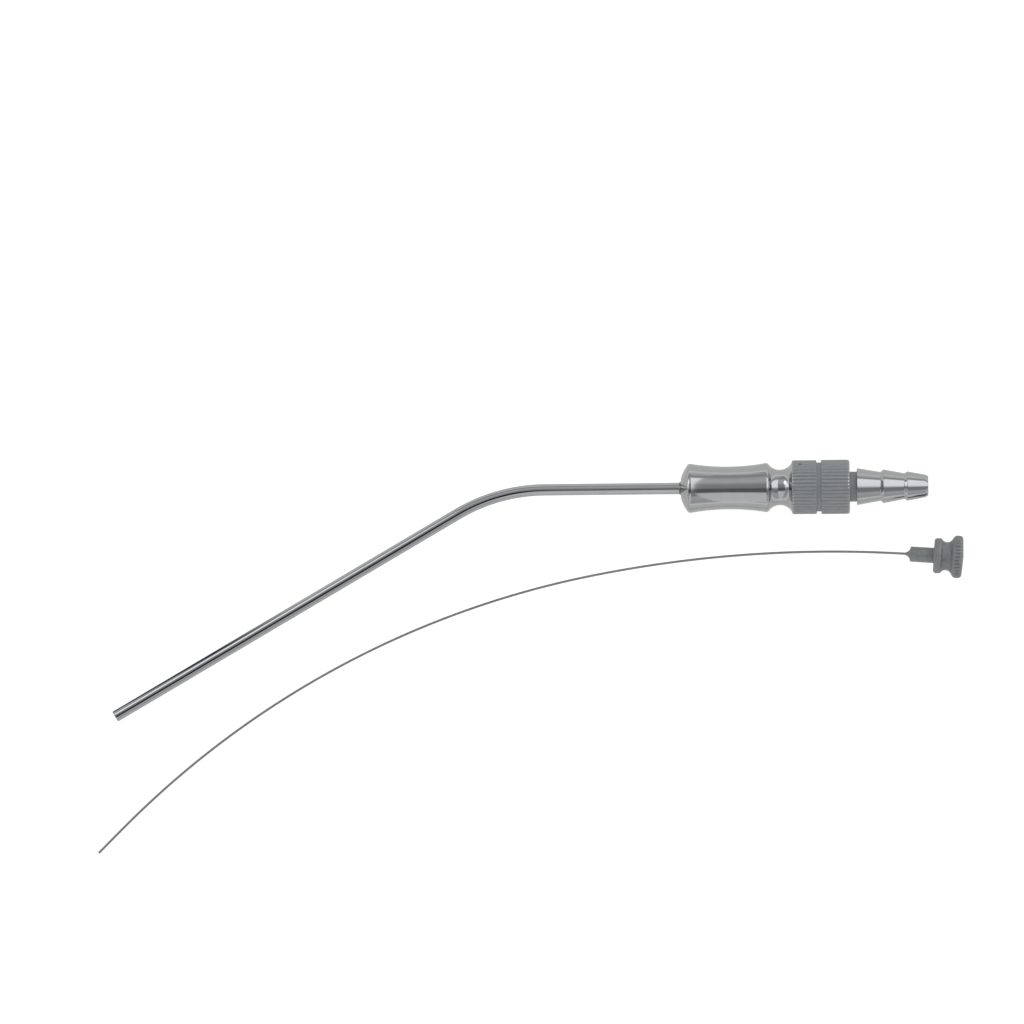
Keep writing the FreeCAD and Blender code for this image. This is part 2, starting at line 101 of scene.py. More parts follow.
def cutKnurl(mesh, fromX, toX, bottom, teeth, stepsPerTooth):
    # every fourth row of points between two places is drawn in to the bottom of the grooves
    count = teeth * stepsPerTooth
    rows = {}
    for vert in mesh.verts:
        radius = vert.co.yz.length
        if fromX <= vert.co.x <= toX and radius > bottom:
            column = round(math.atan2(vert.co.z, vert.co.y) / (2 * math.pi) * count)
            if column % stepsPerTooth == 0:
                rows.setdefault(round(radius, 3), []).append(vert)
    for radius, verts in rows.items():
        bmesh.ops.scale(mesh, vec=(1, bottom / radius, bottom / radius), verts=verts)


def onTooth(centre, teeth):
    # whether a place round the axis is on the top of a tooth rather than in a groove
    share = math.atan2(centre.z, centre.y) / (2 * math.pi) * teeth % 1
    return abs(share - 0.5) < 0.25


def pullPipe(mesh, start, radius, sides, runs):
    # a round wall pulled from x = start towards -X: (length,) is straight, (bend radius, degrees, steps) turns to -Y
    place, heading = Vector((start, 0, 0)), Vector((-1, 0, 0))
    facing = Matrix.Translation(place) @ Matrix.Rotation(math.pi / 2, 4, "Y")
    ring = bmesh.ops.create_circle(mesh, cap_ends=False, segments=sides, radius=radius, matrix=facing)["verts"]
    rim = list({edge for vert in ring for edge in vert.link_edges})
    firstRim = rim
    for run in runs:
        if len(run) == 1:
            grown = bmesh.ops.extrude_edge_only(mesh, edges=rim)["geom"]
            ring = [g for g in grown if isinstance(g, bmesh.types.BMVert)]
            bmesh.ops.translate(mesh, vec=heading * run[0], verts=ring)
            place = place + heading * run[0]
        else:
            side = Vector((-heading.y, heading.x, 0))
            centre = place + side * run[0]
            turn = Matrix.Rotation(math.radians(run[1]), 3, "Z")
            grown = bmesh.ops.spin(mesh, geom=ring + rim, cent=centre, axis=(0, 0, 1), angle=math.radians(run[1]),
                                   steps=run[2], use_merge=False, use_duplicate=False)["geom_last"]
            ring = [g for g in grown if isinstance(g, bmesh.types.BMVert)]
            place = centre + turn @ (place - centre)
            heading = turn @ heading
        rim = [edge for edge in {e for vert in ring for e in vert.link_edges} if set(edge.verts) <= set(ring)]
    return firstRim, rim


cutterSides = 48


def drawCutter(place, turn, runs):
    # a turned cutter that stands at a place along the piece, turned from +Y about the piece's axis
    cutter = bmesh.new()
    drawProfile(cutter, (runs[0][1], 0.0), runs)
    turnProfile(cutter, cutterSides)
    bmesh.ops.recalc_face_normals(cutter, faces=cutter.faces)
    upright = Matrix.Rotation(math.radians(turn), 4, "X") @ Matrix.Rotation(math.pi / 2, 4, "Z")
    bmesh.ops.transform(cutter, matrix=Matrix.Translation((place, 0, 0)) @ upright, verts=cutter.verts)
    return cutter


def cutAway(mesh, cutter):
    bmesh.ops.recalc_face_normals(mesh, faces=mesh.faces)
    items = []
    for part in (mesh, cutter):
        data = bpy.data.meshes.new("cutting")
        part.to_mesh(data)
        part.free()
        items.append(bpy.data.objects.new("cutting", data))
        bpy.context.scene.collection.objects.link(items[-1])
    cut = items[0].modifiers.new("cut", "BOOLEAN")
    cut.operation = "DIFFERENCE"
    cut.solver = "EXACT"
    cut.object = items[1]
    left = bmesh.new()
    left.from_mesh(items[0].evaluated_get(bpy.context.evaluated_depsgraph_get()).to_mesh())
    for item in items:
        bpy.data.objects.remove(item)
    return left


def finishPiece(mesh, name, lie, materials, sharpAngle, nodes):
    bmesh.ops.recalc_face_normals(mesh, faces=mesh.faces)
    for face in mesh.faces:
        face.smooth = True
    for edge in mesh.edges:
        edge.smooth = len(edge.link_faces) == 2 and edge.calc_face_angle(0) < math.radians(sharpAngle)
    bmesh.ops.transform(mesh, matrix=lieMatrix(lie), verts=mesh.verts)
    data = bpy.data.meshes.new(name)
    mesh.to_mesh(data)
    mesh.free()
    piece = bpy.data.objects.new(name, data)
    bpy.context.scene.collection.objects.link(piece)
    for material in materials:
        data.materials.append(material)
    even = piece.modifiers.new("evenNormals", "WEIGHTED_NORMAL")
    even.keep_sharp = True
    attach(piece, "root")
    if nodes:
        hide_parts(*nodes)
    print(name, len(data.vertices), "points")


def newMaterial(name):
    material = bpy.data.materials.new(name)
    material.use_nodes = True
    tree = material.node_tree
    tree.nodes.clear()
    shader = addNode(tree, "ShaderNodeBsdfPrincipled", {"Metallic": 1.0})
    addNode(tree, "ShaderNodeOutputMaterial", links={"Surface": shader.outputs["BSDF"]})
    return material, tree, shader


def pieceCoordinates(tree, lie):
    # millimetres along and across the piece's own axis, wherever it lies
    matrix = lieMatrix(lie)
    settings = {"vector_type": "TEXTURE", "Location": matrix.translation, "Rotation": matrix.to_euler(),
                "Scale": (0.001, 0.001, 0.001)}
    source = addNode(tree, "ShaderNodeTexCoord")
    return addNode(tree, "ShaderNodeMapping", settings, {"Vector": source.outputs["Object"]}).outputs["Vector"]


def mirrorSteel(name, lie, settings):
    # stainless steel, turned and mirror polished: crisp reflections, with a breath of haze and the finest turning lines
    material, tree, shader = newMaterial(name)
    place = pieceCoordinates(tree, lie)
    smear = addNode(tree, "ShaderNodeTexNoise", {"Scale": 1 / settings["smearSize"], "Detail": 3.0}, {"Vector": place})
    shades = {"data_type": "RGBA", 6: linear(settings["dark"]), 7: linear(settings["light"])}
    colour = addNode(tree, "ShaderNodeMix", shades, {0: smear.outputs["Fac"]})
    tree.links.new(colour.outputs[2], shader.inputs["Base Color"])
    haze = addNode(tree, "ShaderNodeMapRange", {"From Min": 0.3, "From Max": 0.7, "To Min": settings["roughness"][0],
                                                "To Max": settings["roughness"][1]}, {"Value": smear.outputs["Fac"]})
    tree.links.new(haze.outputs["Result"], shader.inputs["Roughness"])
    along = addNode(tree, "ShaderNodeMapping", {"Scale": (1 / settings["lineSpacing"], 0.02, 0.02)}, {"Vector": place})
    lines = addNode(tree, "ShaderNodeTexNoise", {"Scale": 1.0, "Detail": 2.0}, {"Vector": along.outputs["Vector"]})
    bump = addNode(tree, "ShaderNodeBump", {"Strength": 1.0, "Distance": settings["lineDepth"] / 1000},
                   {"Height": lines.outputs["Fac"]})
    tree.links.new(bump.outputs["Normal"], shader.inputs["Normal"])
    return material


def blastedSteel(name, lie, settings):
    # stainless steel, glass bead blasted: an even, matt grey of tiny dents
    material, tree, shader = newMaterial(name)
    place = pieceCoordinates(tree, lie)
    cloud = addNode(tree, "ShaderNodeTexNoise", {"Scale": 1 / settings["cloudSize"], "Detail": 4.0}, {"Vector": place})
    shades = {"data_type": "RGBA", 6: linear(settings["dark"]), 7: linear(settings["light"])}
    colour = addNode(tree, "ShaderNodeMix", shades, {0: cloud.outputs["Fac"]})
    tree.links.new(colour.outputs[2], shader.inputs["Base Color"])
    grain = addNode(tree, "ShaderNodeTexNoise", {"Scale": 1 / settings["dentSize"], "Detail": 2.0}, {"Vector": place})
    rough = addNode(tree, "ShaderNodeMapRange", {"From Min": 0.3, "From Max": 0.7, "To Min": settings["roughness"][0],
                                                 "To Max": settings["roughness"][1]}, {"Value": grain.outputs["Fac"]})
    tree.links.new(rough.outputs["Result"], shader.inputs["Roughness"])
    bump = addNode(tree, "ShaderNodeBump", {"Strength": 1.0, "Distance": settings["dentDepth"] / 1000},
                   {"Height": grain.outputs["Fac"]})
    tree.links.new(bump.outputs["Normal"], shader.inputs["Normal"])
    return material


polish = {"light": "#B6B8BA", "dark": "#ACAEB0", "smearSize": 2.5, "roughness": (0.06, 0.11), "lineSpacing": 0.15,
          "lineDepth": 0.0002}
blast = {"light": "#B0B3B5", "dark": "#A3A6A8", "cloudSize": 0.8, "dentSize": 0.12, "dentDepth": 0.004,
         "roughness": (0.62, 0.76)}
darkBlast = {"light": "#ACAFB1", "dark": "#878A8C", "cloudSize": 1.0, "dentSize": 0.14, "dentDepth": 0.006,
             "roughness": (0.58, 0.74)}
drawn = {"light": "#A6A6AA", "dark": "#8E8E93", "smearSize": 1.2, "roughness": (0.42, 0.54), "lineSpacing": 0.4,
         "lineDepth": 0.0004}
solder = {"light": "#8C8A86", "dark": "#6E6C68", "smearSize": 0.5, "roughness": (0.18, 0.3), "lineSpacing": 0.3,
          "lineDepth": 0.001}
brazing = {"light": "#A89C78", "dark": "#84795C", "smearSize": 0.4, "roughness": (0.25, 0.4), "lineSpacing": 0.3,
           "lineDepth": 0.001}

polishedSteel = mirrorSteel("mirrorPolishedStainless", instrumentLie, polish)
mattSteel = blastedSteel("beadBlastedStainless", instrumentLie, blast)
knobSteel = blastedSteel("beadBlastedKnobStainless", styletLie, darkBlast)
wireSteel = mirrorSteel("drawnStainlessWire", styletLie, drawn)
silverSolder = mirrorSteel("flowedSilverSolder", instrumentLie, solder)
wireSolder = mirrorSteel("flowedBrassBrazeStylet", styletLie, brazing)

# PTFE washer, cut from sheet: white and waxy
wax = {"light": "#F1F0EC", "dark": "#E4E3DE", "grainSize": 0.25, "roughness": 0.45}
ptfe, tree, shader = newMaterial("cutPtfe")
shader.inputs["Metallic"].default_value = 0.0
place = pieceCoordinates(tree, instrumentLie)
grain = addNode(tree, "ShaderNodeTexNoise", {"Scale": 1 / wax["grainSize"], "Detail": 3.0}, {"Vector": place})
shades = {"data_type": "RGBA", 6: linear(wax["dark"]), 7: linear(wax["light"])}
colour = addNode(tree, "ShaderNodeMix", shades, {0: grain.outputs["Fac"]})
tree.links.new(colour.outputs[2], shader.inputs["Base Color"])
shader.inputs["Roughness"].default_value = wax["roughness"]
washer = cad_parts["seal_washer"]
washer.data.materials.clear()
washer.data.materials.append(ptfe)
print("finishes ready")

sharpEdge, knurledEdge = 40, 35  # degrees between faces from which an edge is shaded sharp
hair = 0.01  # millimetres by which a range reaches past the points it takes in

# The shaft is one bent tube, open from end to end
shaft = {"outer": 1.5, "wall": 0.3, "seat": 9.0, "near": 35.24, "bendRadius": 45.0, "bend": 30.0, "far": 102.54,
         "tip": 0.5, "bendSteps": 30, "sides": 64, "lip": 0.08}
mesh = bmesh.new()
runs = [(shaft["seat"] + shaft["near"],), (shaft["bendRadius"], shaft["bend"], shaft["bendSteps"]), (shaft["far"],),
        (shaft["tip"],)]
outerFirst, outerLast = pullPipe(mesh, shaft["seat"], shaft["outer"], shaft["sides"], runs)
innerFirst, innerLast = pullPipe(mesh, shaft["seat"], shaft["outer"] - shaft["wall"], shaft["sides"], runs)
bmesh.ops.bridge_loops(mesh, edges=outerFirst + innerFirst)
bmesh.ops.bridge_loops(mesh, edges=outerLast + innerLast)
bmesh.ops.bevel(mesh, geom=outerLast + innerLast, offset=shaft["lip"], offset_type="OFFSET", segments=2, profile=0.5,
                affect="EDGES", material=-1)
finishPiece(mesh, "suctionShaft", instrumentLie, [polishedSteel], sharpEdge, ["shaft_tube"])

# The grip has a dome, a waisted barrel, a round neck, a knurled ring and the socket behind it
grip = {"seat": 1.53, "solderMouth": 0.4, "solderDepth": 0.4, "face": 2.43, "domeCurve": 10.0, "domeRim": 6.22,
        "barrelFront": 2.4, "barrelRear": 22.15, "waistPlace": 12.3, "waist": 5.53, "waistCurve": 56.5,
        "neckRim": 6.2, "neckPlace": 25.6, "neck": 4.58, "neckCurve": 3.5, "ring": 6.95, "ringFoot": 6.45,
        "ringEnd": 35.1, "length": 36.05, "relief": 6.33, "socket": 3.78, "socketDepth": 7.45, "socketChamfer": 0.3,
        "channel": 1.8, "tubeSeat": 9.0, "domeSteps": 24, "waistSteps": 60, "neckSteps": 36, "frontRound": 0.25,
        "rearRound": 0.2, "neckRound": 0.12, "ringRound": 0.45, "ringRearRound": 0.22, "burnished": 0.4}
knurl = {"teeth": 45, "stepsPerTooth": 4, "depth": 0.19}
vent = {"place": 12.3, "turn": -90.0, "radius": 1.25, "lip": 0.25, "round": 0.1}
dimple = {"place": 30.9, "turn": 28.0, "radius": 0.5, "depth": 0.35}


def arcAlong(radius, height):
    # how far an arc reaches along the axis, at a height from its centre
    return math.sqrt(radius**2 - height**2)


domeX = arcAlong(grip["domeCurve"], grip["face"])
domeEndX = domeX - arcAlong(grip["domeCurve"], grip["domeRim"])
waistY = grip["waist"] + grip["waistCurve"]
frontY = waistY - arcAlong(grip["waistCurve"], grip["waistPlace"] - grip["barrelFront"])
rearY = waistY - arcAlong(grip["waistCurve"], grip["waistPlace"] - grip["barrelRear"])
neckY = grip["neck"] + grip["neckCurve"]
neckFrontX = grip["neckPlace"] - arcAlong(grip["neckCurve"], neckY - grip["neckRim"])
neckRearX = grip["neckPlace"] + arcAlong(grip["neckCurve"], neckY - grip["ringFoot"])
mouth = grip["seat"] + grip["solderMouth"]
runs = [
    ("to", 0.0, grip["face"]),
    ("arc", domeX, 0.0, domeEndX, grip["domeRim"], grip["domeSteps"]),
    ("to", grip["barrelFront"], frontY, grip["frontRound"]),
    ("arc", grip["waistPlace"], waistY, grip["barrelRear"], rearY, grip["waistSteps"], grip["rearRound"]),
    ("to", neckFrontX, grip["neckRim"], grip["neckRound"]),
    ("arc", grip["neckPlace"], neckY, neckRearX, grip["ringFoot"], grip["neckSteps"]),
    ("to", neckRearX, grip["ring"], grip["ringRound"]),
    ("to", grip["ringEnd"], grip["ring"], grip["ringRearRound"]),
    ("to", grip["ringEnd"], grip["relief"]),
    ("to", grip["length"], grip["relief"]),
    ("to", grip["length"], grip["socket"] + grip["socketChamfer"]),
    ("to", grip["length"] - grip["socketChamfer"], grip["socket"]),
    ("to", grip["length"] - grip["socketDepth"], grip["socket"]),
    ("to", grip["length"] - grip["socketDepth"], grip["channel"]),
    ("to", grip["tubeSeat"], grip["channel"]),
    ("to", grip["tubeSeat"], grip["seat"]),
    ("to", grip["solderDepth"], grip["seat"]),
    ("to", 0.0, mouth),
]
mesh = bmesh.new()
drawProfile(mesh, (0.0, mouth), runs)
turnProfile(mesh, knurl["teeth"] * knurl["stepsPerTooth"])
cutKnurl(mesh, neckRearX - hair, grip["ringEnd"] + hair, grip["ring"] - knurl["depth"], knurl["teeth"],
         knurl["stepsPerTooth"])
mesh = cutAway(mesh, drawCutter(vent["place"], vent["turn"], [
    ("to", grip["channel"] / 2, vent["radius"]),
    ("to", grip["waist"] - vent["lip"], vent["radius"], vent["round"]),
    ("to", grip["waist"] + 2 * vent["lip"], vent["radius"] + 3 * vent["lip"]),
    ("to", grip["waist"] + 2 * vent["lip"], 0.0),
]))
mesh = cutAway(mesh, drawCutter(dimple["place"], dimple["turn"], [
    ("to", grip["ring"] - dimple["depth"] - dimple["radius"] / 2, 0.0),
    ("to", grip["ring"] - dimple["depth"], dimple["radius"]),
    ("to", grip["ring"] + dimple["depth"], dimple["radius"]),
    ("to", grip["ring"] + dimple["depth"], 0.0),
]))
for face in mesh.faces:
    centre = face.calc_center_median()
    burnished = centre.x < neckRearX + grip["burnished"] and onTooth(centre, knurl["teeth"])
    face.material_index = 1 if centre.x > neckRearX - hair and not burnished else 0
finishPiece(mesh, "turnedGrip", instrumentLie, [polishedSteel, mattSteel], knurledEdge, ["handle_grip"])

# The bead of solder between the tube and the dome
bead = {"rise": 0.45, "shoulder": 0.12, "shoulderRise": 0.14, "round": 0.15, "sides": 96}
mesh = bmesh.new()
drawProfile(mesh, (-bead["rise"], shaft["outer"]), [
    ("to", -bead["shoulder"], shaft["outer"] + bead["shoulderRise"], bead["round"]),
    ("to", 0.0, mouth),
    ("to", grip["solderDepth"], grip["seat"]),
    ("to", grip["solderDepth"], shaft["outer"]),
    ("to", -bead["rise"], shaft["outer"]),
])
turnProfile(mesh, bead["sides"])
finishPiece(mesh, "solderBead", instrumentLie, [silverSolder], sharpEdge, ["solder_ring"])

# The hose connector has a spigot, a knurled collar, a neck and three barbs on one bore
connector = {"front": 29.6, "spigot": 3.75, "spigotChamfer": 0.35, "joint": 36.05, "collarStep": 0.25,
             "collar": 6.9998, "collarEnd": 43.64, "neck": 3.88, "barbStart": 45.5, "pitch": 6.15, "slope": 0.7,
             "mouthLength": 0.69, "mouth": 2.55, "bore": 2.1, "crests": (4.81, 4.4, 3.82), "roots": (3.74, 3.35, 2.94),
             "collarRound": 0.22, "collarRearRound": 0.5, "barbRound": 0.1, "lastRound": 0.2, "mouthRound": 0.12,
             "burnished": 0.47}
runs = [
    ("to", connector["front"], connector["spigot"] - connector["spigotChamfer"]),
    ("to", connector["front"] + connector["spigotChamfer"], connector["spigot"]),
    ("to", connector["joint"], connector["spigot"]),
    ("to", connector["joint"], grip["relief"]),
    ("to", connector["joint"] + connector["collarStep"], grip["relief"]),
    ("to", connector["joint"] + connector["collarStep"], connector["collar"], connector["collarRound"]),
    ("to", connector["collarEnd"], connector["collar"], connector["collarRearRound"]),
    ("to", connector["collarEnd"], connector["neck"]),
    ("to", connector["barbStart"], connector["neck"]),
    ("to", connector["barbStart"], connector["crests"][0], connector["barbRound"]),
]
end = connector["barbStart"] + connector["pitch"]
runs.append(("to", end, connector["roots"][0], connector["barbRound"]))
for crest, root in zip(connector["crests"][1:], connector["roots"][1:]):
    runs.append(("to", end + connector["slope"], crest, connector["barbRound"]))
    end += connector["pitch"]
    if crest == connector["crests"][-1]:
        runs.append(("to", end - connector["mouthLength"], root, connector["lastRound"]))
    else:
        runs.append(("to", end, root, connector["barbRound"]))
runs += [
    ("to", end, connector["mouth"], connector["mouthRound"]),
    ("to", end, connector["bore"]),
    ("to", connector["front"], connector["bore"]),
]
mesh = bmesh.new()
drawProfile(mesh, (connector["front"], connector["bore"]), runs)
turnProfile(mesh, knurl["teeth"] * knurl["stepsPerTooth"])
cutKnurl(mesh, connector["joint"], connector["collarEnd"] + hair, connector["collar"] - knurl["depth"], knurl["teeth"],
         knurl["stepsPerTooth"])
for face in mesh.faces:
    centre = face.calc_center_median()
    burnished = (connector["collarEnd"] - connector["burnished"] < centre.x < connector["collarEnd"] - hair
                 and onTooth(centre, knurl["teeth"]))
    face.material_index = 1 if centre.x < connector["barbStart"] - hair and not burnished else 0
finishPiece(mesh, "hoseConnector", instrumentLie, [polishedSteel, mattSteel], knurledEdge, ["hose_connector"])

# The stylet is a stiff wire and its turned knob, laid beside the tube
wire = {"radius": 0.31, "seat": 8.0, "bends": ((316.7, 14.93, 40), (235.9, 33.82, 60)), "end": 8.6,
        "tip": 0.4, "tipRound": 0.06, "sides": 24}
mesh = bmesh.new()
wireFirst, wireLast = pullPipe(mesh, wire["seat"], wire["radius"], wire["sides"],
                               [(wire["seat"],), *wire["bends"], (wire["end"],), (wire["tip"],)])
bmesh.ops.edgeloop_fill(mesh, edges=wireFirst)
bmesh.ops.edgeloop_fill(mesh, edges=wireLast)
bmesh.ops.bevel(mesh, geom=wireLast, offset=wire["tipRound"], offset_type="OFFSET", segments=2, profile=0.5,
                affect="EDGES", material=-1)
finishPiece(mesh, "styletWire", styletLie, [wireSteel], sharpEdge, ["stylet_wire"])

knob = {"bore": 0.33, "nose": 0.5, "noseLength": 0.93, "noseCentre": (-0.67, 1.952), "noseSteps": 6, "noseRound": 0.2,
        "shank": 1.97, "shankEnd": 7.0, "shankRound": 0.1, "flange": 4.55, "flangeRound": 0.75, "flangeRearRound": 0.3,
        "groovePlace": 10.25, "groove": 3.63, "grooveCurve": 1.55, "grooveSteps": 20, "grooveLip": 4.6,
        "headFront": 12.35, "headFrontRound": 0.5, "head": 5.5, "headEnd": 14.37, "headRound": 0.85, "headDome": 0.35,
        "teeth": 35, "stepsPerTooth": 4, "depth": 0.26, "knurlRunout": 0.4}
grooveY = knob["groove"] + knob["grooveCurve"]
flangeX = knob["groovePlace"] - arcAlong(knob["grooveCurve"], grooveY - knob["flange"])
lipX = knob["groovePlace"] + arcAlong(knob["grooveCurve"], grooveY - knob["grooveLip"])
mesh = bmesh.new()
drawProfile(mesh, (0.0, knob["bore"]), [
    ("to", 0.0, knob["nose"]),
    ("arc", *knob["noseCentre"], knob["noseLength"], knob["shank"], knob["noseSteps"], knob["noseRound"]),
    ("to", knob["shankEnd"], knob["shank"], knob["shankRound"]),
    ("to", knob["shankEnd"], knob["flange"], knob["flangeRound"]),
    ("to", flangeX, knob["flange"], knob["flangeRearRound"]),
    ("arc", knob["groovePlace"], grooveY, lipX, knob["grooveLip"], knob["grooveSteps"]),
    ("to", knob["headFront"], knob["head"], knob["headFrontRound"]),
    ("to", knob["headEnd"], knob["head"], knob["headRound"]),
    ("to", knob["headEnd"] + knob["headDome"], 0.0),
    ("to", wire["seat"], 0.0),
    ("to", wire["seat"], knob["bore"]),
    ("to", 0.0, knob["bore"]),
])
turnProfile(mesh, knob["teeth"] * knob["stepsPerTooth"])
cutKnurl(mesh, knob["headFront"] - knob["knurlRunout"], knob["headEnd"] + hair, knob["head"] - knob["depth"],
         knob["teeth"], knob["stepsPerTooth"])
finishPiece(mesh, "styletKnob", styletLie, [knobSteel], knurledEdge, ["stylet_knob"])

# The spot of braze that holds the wire in the knob's nose
braze = {"rise": 0.4, "shoulder": 0.12, "round": 0.12, "bulge": 0.42, "foot": 0.46, "sides": 48}
mesh = bmesh.new()
drawProfile(mesh, (-braze["rise"], wire["radius"]), [
    ("to", -braze["shoulder"], braze["bulge"], braze["round"]),
    ("to", 0.0, braze["foot"]),
    ("to", 0.0, wire["radius"]),
    ("to", -braze["rise"], wire["radius"]),
])
turnProfile(mesh, braze["sides"])
finishPiece(mesh, "styletBraze", styletLie, [wireSolder], sharpEdge, [])
print("pieces built")

# The studio is a pale table, a surround with a dark opening overhead, one soft lamp and three cards of painted shade
studio = {"floorColour": "#B4B4B4", "floorSeen": 0.84, "floorMirrored": 0.47, "mirroredColour": "#FFFDF8",
          "floorSize": 6.0, "floorHeight": -0.00003}
bpy.ops.mesh.primitive_plane_add(size=studio["floorSize"], location=(0, 0, studio["floorHeight"]))
floor = bpy.context.object
floor.name = "table"
floorMaterial = bpy.data.materials.new("paleTable")
floorMaterial.use_nodes = True
tree = floorMaterial.node_tree
tree.nodes.clear()
paint = addNode(tree, "ShaderNodeBsdfDiffuse", {"Color": linear(studio["floorColour"])})
rays = addNode(tree, "ShaderNodeLightPath")
strength = addNode(tree, "ShaderNodeMath", {"operation": "MULTIPLY", 1: studio["floorMirrored"]},
                   {0: rays.outputs["Is Glossy Ray"]})
for ray in ("Is Camera Ray", "Is Transmission Ray"):
    strength = addNode(tree, "ShaderNodeMath", {"operation": "MULTIPLY_ADD", 1: studio["floorSeen"]},
                       {0: rays.outputs[ray], 2: strength.outputs[0]})
tint = addNode(tree, "ShaderNodeMix", {"data_type": "RGBA", 6: (1, 1, 1, 1), 7: linear(studio["mirroredColour"])},
               {0: rays.outputs["Is Glossy Ray"]})
glow = addNode(tree, "ShaderNodeEmission", links={"Color": tint.outputs[2], "Strength": strength.outputs[0]})
both = addNode(tree, "ShaderNodeAddShader", links={0: paint.outputs[0], 1: glow.outputs[0]})
addNode(tree, "ShaderNodeOutputMaterial", links={"Surface": both.outputs[0]})
floor.data.materials.append(floorMaterial)

# The surround by its angle from overhead: towards +Y in each list, and towards +X from one list to the next
surround = {
    "left": ((-180, 0.7), (-90, 0.6), (-30, 0.5), (-20, 0.3), (-8, 0.4), (0, 0.9), (12, 1.6), (45, 1.6), (54, 0.9),
             (59, 0.42), (82, 0.4), (87, 0.75), (180, 0.8)),
    "middle": ((-180, 0.85), (-90, 0.95), (-56, 0.87), (-31, 0.87), (-26.5, 0.8), (-23, 0.19), (-19, 0.18), (-10, 0.16),
               (-5, 0.18), (-2, 0.34), (1, 0.38), (6, 0.37), (12, 0.4), (17, 0.43), (22, 0.53), (28, 0.63), (34, 0.7),
               (39, 0.68), (50, 0.62), (57, 0.52), (60, 0.43), (69, 0.44), (74, 0.72), (90, 0.76), (180, 0.8)),
    "right": ((-180, 0.8), (-90, 0.7), (-73, 0.55), (-61, 0.6), (-50, 0.66), (-42, 0.6), (-37, 0.36), (-12, 0.33),
              (-6, 0.7), (4, 1.45), (48, 1.5), (55, 0.5), (62, 0.45), (70, 0.72), (90, 0.76), (180, 0.8)),
    "leftEdge": (-50, -42), "rightEdge": (15.5, 18.5), "horizon": (4, 14),
}
world = bpy.data.worlds.new("softSurround")
bpy.context.scene.world = world
world.use_nodes = True
tree = world.node_tree
tree.nodes.clear()
direction = addNode(tree, "ShaderNodeTexCoord").outputs["Generated"]
parts = addNode(tree, "ShaderNodeSeparateXYZ", links={0: direction})
across = addNode(tree, "ShaderNodeMath", {"operation": "ARCTAN2"}, {0: parts.outputs["Y"], 1: parts.outputs["Z"]})
across = addNode(tree, "ShaderNodeMapRange", {"From Min": -math.pi, "From Max": math.pi}, {"Value": across.outputs[0]})
along = addNode(tree, "ShaderNodeMath", {"operation": "ARCTAN2"}, {0: parts.outputs["X"], 1: parts.outputs["Z"]})
height = addNode(tree, "ShaderNodeMath", {"operation": "ARCSINE"}, {0: parts.outputs["Z"]})
bands = {}
for part in ("left", "middle", "right"):
    band = addNode(tree, "ShaderNodeValToRGB", links={"Fac": across.outputs[0]})
    stops = band.color_ramp.elements
    for number, (angle, level) in enumerate(surround[part]):
        place = (angle + 180) / 360
        stop = stops[1] if number == 1 else stops[0] if number == 0 else stops.new(place)
        stop.position = place
        stop.color = (level, level, level, 1)
    bands[part] = band.outputs[0]
shares = {}
for part, source in (("leftEdge", along), ("rightEdge", along), ("horizon", height)):
    low, high = (math.radians(angle) for angle in surround[part])
    edge = {"interpolation_type": "SMOOTHSTEP", "From Min": low, "From Max": high}
    shares[part] = addNode(tree, "ShaderNodeMapRange", edge, {"Value": source.outputs[0]}).outputs[0]
blend = addNode(tree, "ShaderNodeMix", {"data_type": "RGBA"},
                {0: shares["rightEdge"], 6: bands["middle"], 7: bands["right"]})
blend = addNode(tree, "ShaderNodeMix", {"data_type": "RGBA"},
                {0: shares["leftEdge"], 6: bands["left"], 7: blend.outputs[2]})
blend = addNode(tree, "ShaderNodeMix", {"data_type": "RGBA", 6: (1, 1, 1, 1)},
                {0: shares["horizon"], 7: blend.outputs[2]})
light = addNode(tree, "ShaderNodeBackground", {"Strength": 1.0}, {"Color": blend.outputs[2]})
addNode(tree, "ShaderNodeOutputWorld", links={"Surface": light.outputs[0]})

lamp = {"place": (-0.3, 0.279, 0.354), "size": 0.2, "watts": 0.11}
lampData = bpy.data.lights.new("leftSoftbox", "AREA")
lampData.shape = "DISK"
lampData.size = lamp["size"]
lampData.energy = lamp["watts"]
softbox = bpy.data.objects.new("leftSoftbox", lampData)
softbox.location = lamp["place"]
softbox.rotation_euler = (-softbox.location).to_track_quat("-Z", "Y").to_euler()
softbox.visible_camera = False
bpy.context.scene.collection.objects.link(softbox)
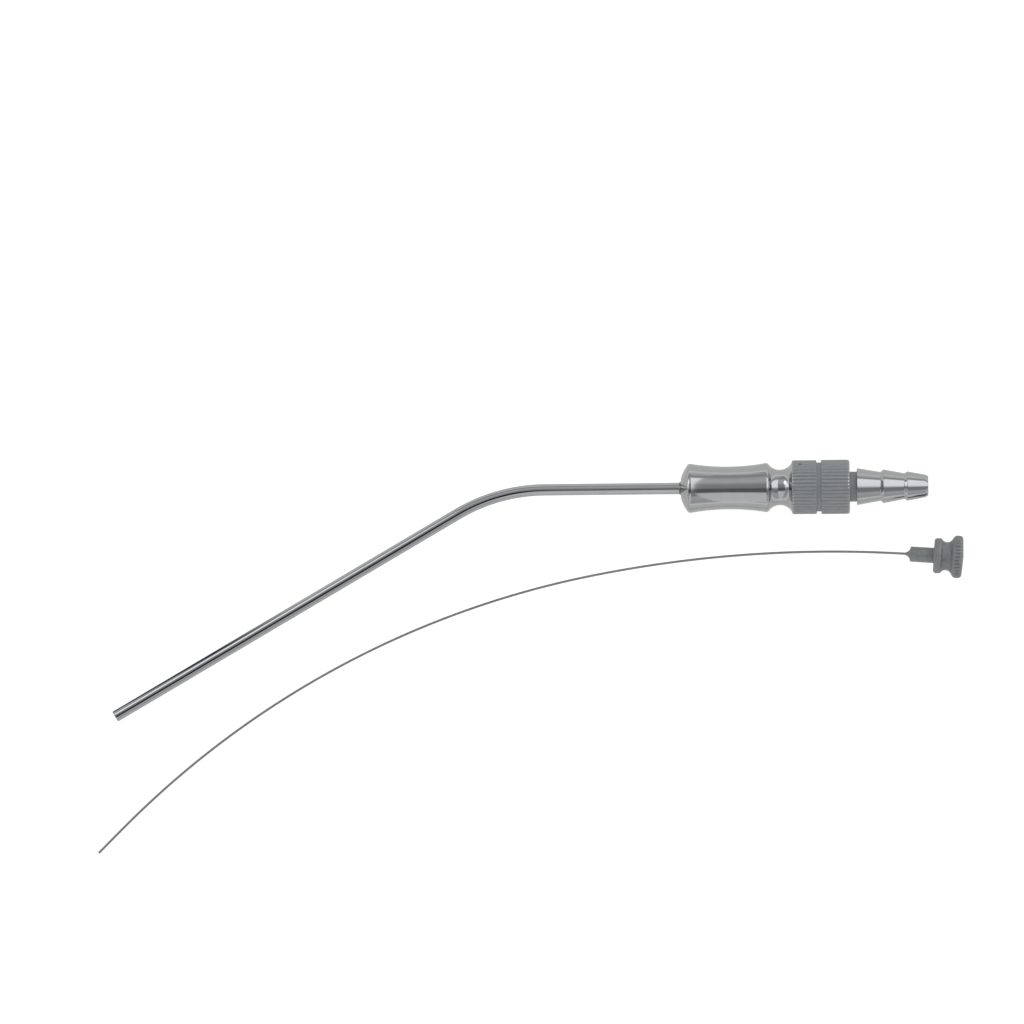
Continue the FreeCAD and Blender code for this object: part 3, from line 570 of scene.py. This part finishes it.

# The tube mirrors three dark cards, painted reflections that only glossy rays see: as the stripe along its far leg,
# as the same stripe round the bend, and as the thin line along the leg's upper edge, a painted reflection of the
# table's shade beside the tube. A card fades at its rim, and beyond its reach, so that no other piece mirrors it.
cards = {
    "legShade": {"place": (-0.0674, -0.03, 0.12), "turn": (0, 0, 30), "size": (0.1236, 0.0798),
                 "ends": (0.39, 0.5), "reach": (0.142, 0.154)},
    "bendShade": {"place": (-0.0169, 0.0255, 0.05), "turn": (0, 0, 24.4), "size": (0.0416, 0.0285),
                  "ends": (0.39, 0.5), "reach": (0.052, 0.058)},
    "edgeShade": {"place": (-0.1094, -0.01147, 0.00047), "turn": (90, -4, 30), "size": (0.12, 0.0036),
                  "ends": (0.25, 0.5), "reach": (0.008, 0.01)},
}
# the colour of the painted dark reflections
cardPaint = {"colour": (0.034, 0.028, 0.055, 1), "rim": (0.39, 0.5)}
for name, card in cards.items():
    turn = [math.radians(angle) for angle in card["turn"]]
    bpy.ops.mesh.primitive_plane_add(size=1.0, location=card["place"], rotation=turn)
    shade = bpy.context.object
    shade.name = name
    shade.scale = (*card["size"], 1.0)
    shade.visible_camera = False
    shade.visible_diffuse = False
    shade.visible_shadow = False
    shadeMaterial = bpy.data.materials.new(name + "Card")
    shadeMaterial.use_nodes = True
    tree = shadeMaterial.node_tree
    tree.nodes.clear()
    dark = addNode(tree, "ShaderNodeEmission", {"Color": cardPaint["colour"], "Strength": 1.0})
    clear = addNode(tree, "ShaderNodeBsdfTransparent")
    across = addNode(tree, "ShaderNodeSeparateXYZ", links={0: addNode(tree, "ShaderNodeTexCoord").outputs["Object"]})
    along, aside = (addNode(tree, "ShaderNodeMath", {"operation": "ABSOLUTE"}, {0: across.outputs[side]}).outputs[0]
                    for side in ("X", "Y"))
    length = addNode(tree, "ShaderNodeLightPath").outputs["Ray Length"]
    fades = []
    for source, (low, high) in ((along, card["ends"]), (aside, cardPaint["rim"]), (length, card["reach"])):
        edge = {"interpolation_type": "SMOOTHSTEP", "From Min": low, "From Max": high}
        fades.append(addNode(tree, "ShaderNodeMapRange", edge, {"Value": source}).outputs[0])
    fade = addNode(tree, "ShaderNodeMath", {"operation": "MAXIMUM"}, {0: fades[0], 1: fades[1]})
    fade = addNode(tree, "ShaderNodeMath", {"operation": "MAXIMUM"}, {0: fade.outputs[0], 1: fades[2]})
    soft = addNode(tree, "ShaderNodeMixShader", links={0: fade.outputs[0], 1: dark.outputs[0], 2: clear.outputs[0]})
    addNode(tree, "ShaderNodeOutputMaterial", links={"Surface": soft.outputs[0]})
    shade.data.materials.append(shadeMaterial)

# The camera looks straight down on the table
view = {"place": (-0.00428, 0.03738, 3.007), "turn": -0.6, "distance": 3.0, "field": 0.2646, "sensor": 36.0,
        "clipEnd": 20}
cameraData = bpy.data.cameras.new("overhead")
cameraData.sensor_width = view["sensor"]
cameraData.lens = view["sensor"] * view["distance"] / view["field"]
cameraData.clip_end = view["clipEnd"]
camera = bpy.data.objects.new("overhead", cameraData)
camera.location = view["place"]
camera.rotation_euler = (0, 0, math.radians(view["turn"]))
bpy.context.scene.collection.objects.link(camera)
bpy.context.scene.camera = camera
bpy.context.scene.view_settings.view_transform = "Standard"
print("studio ready")
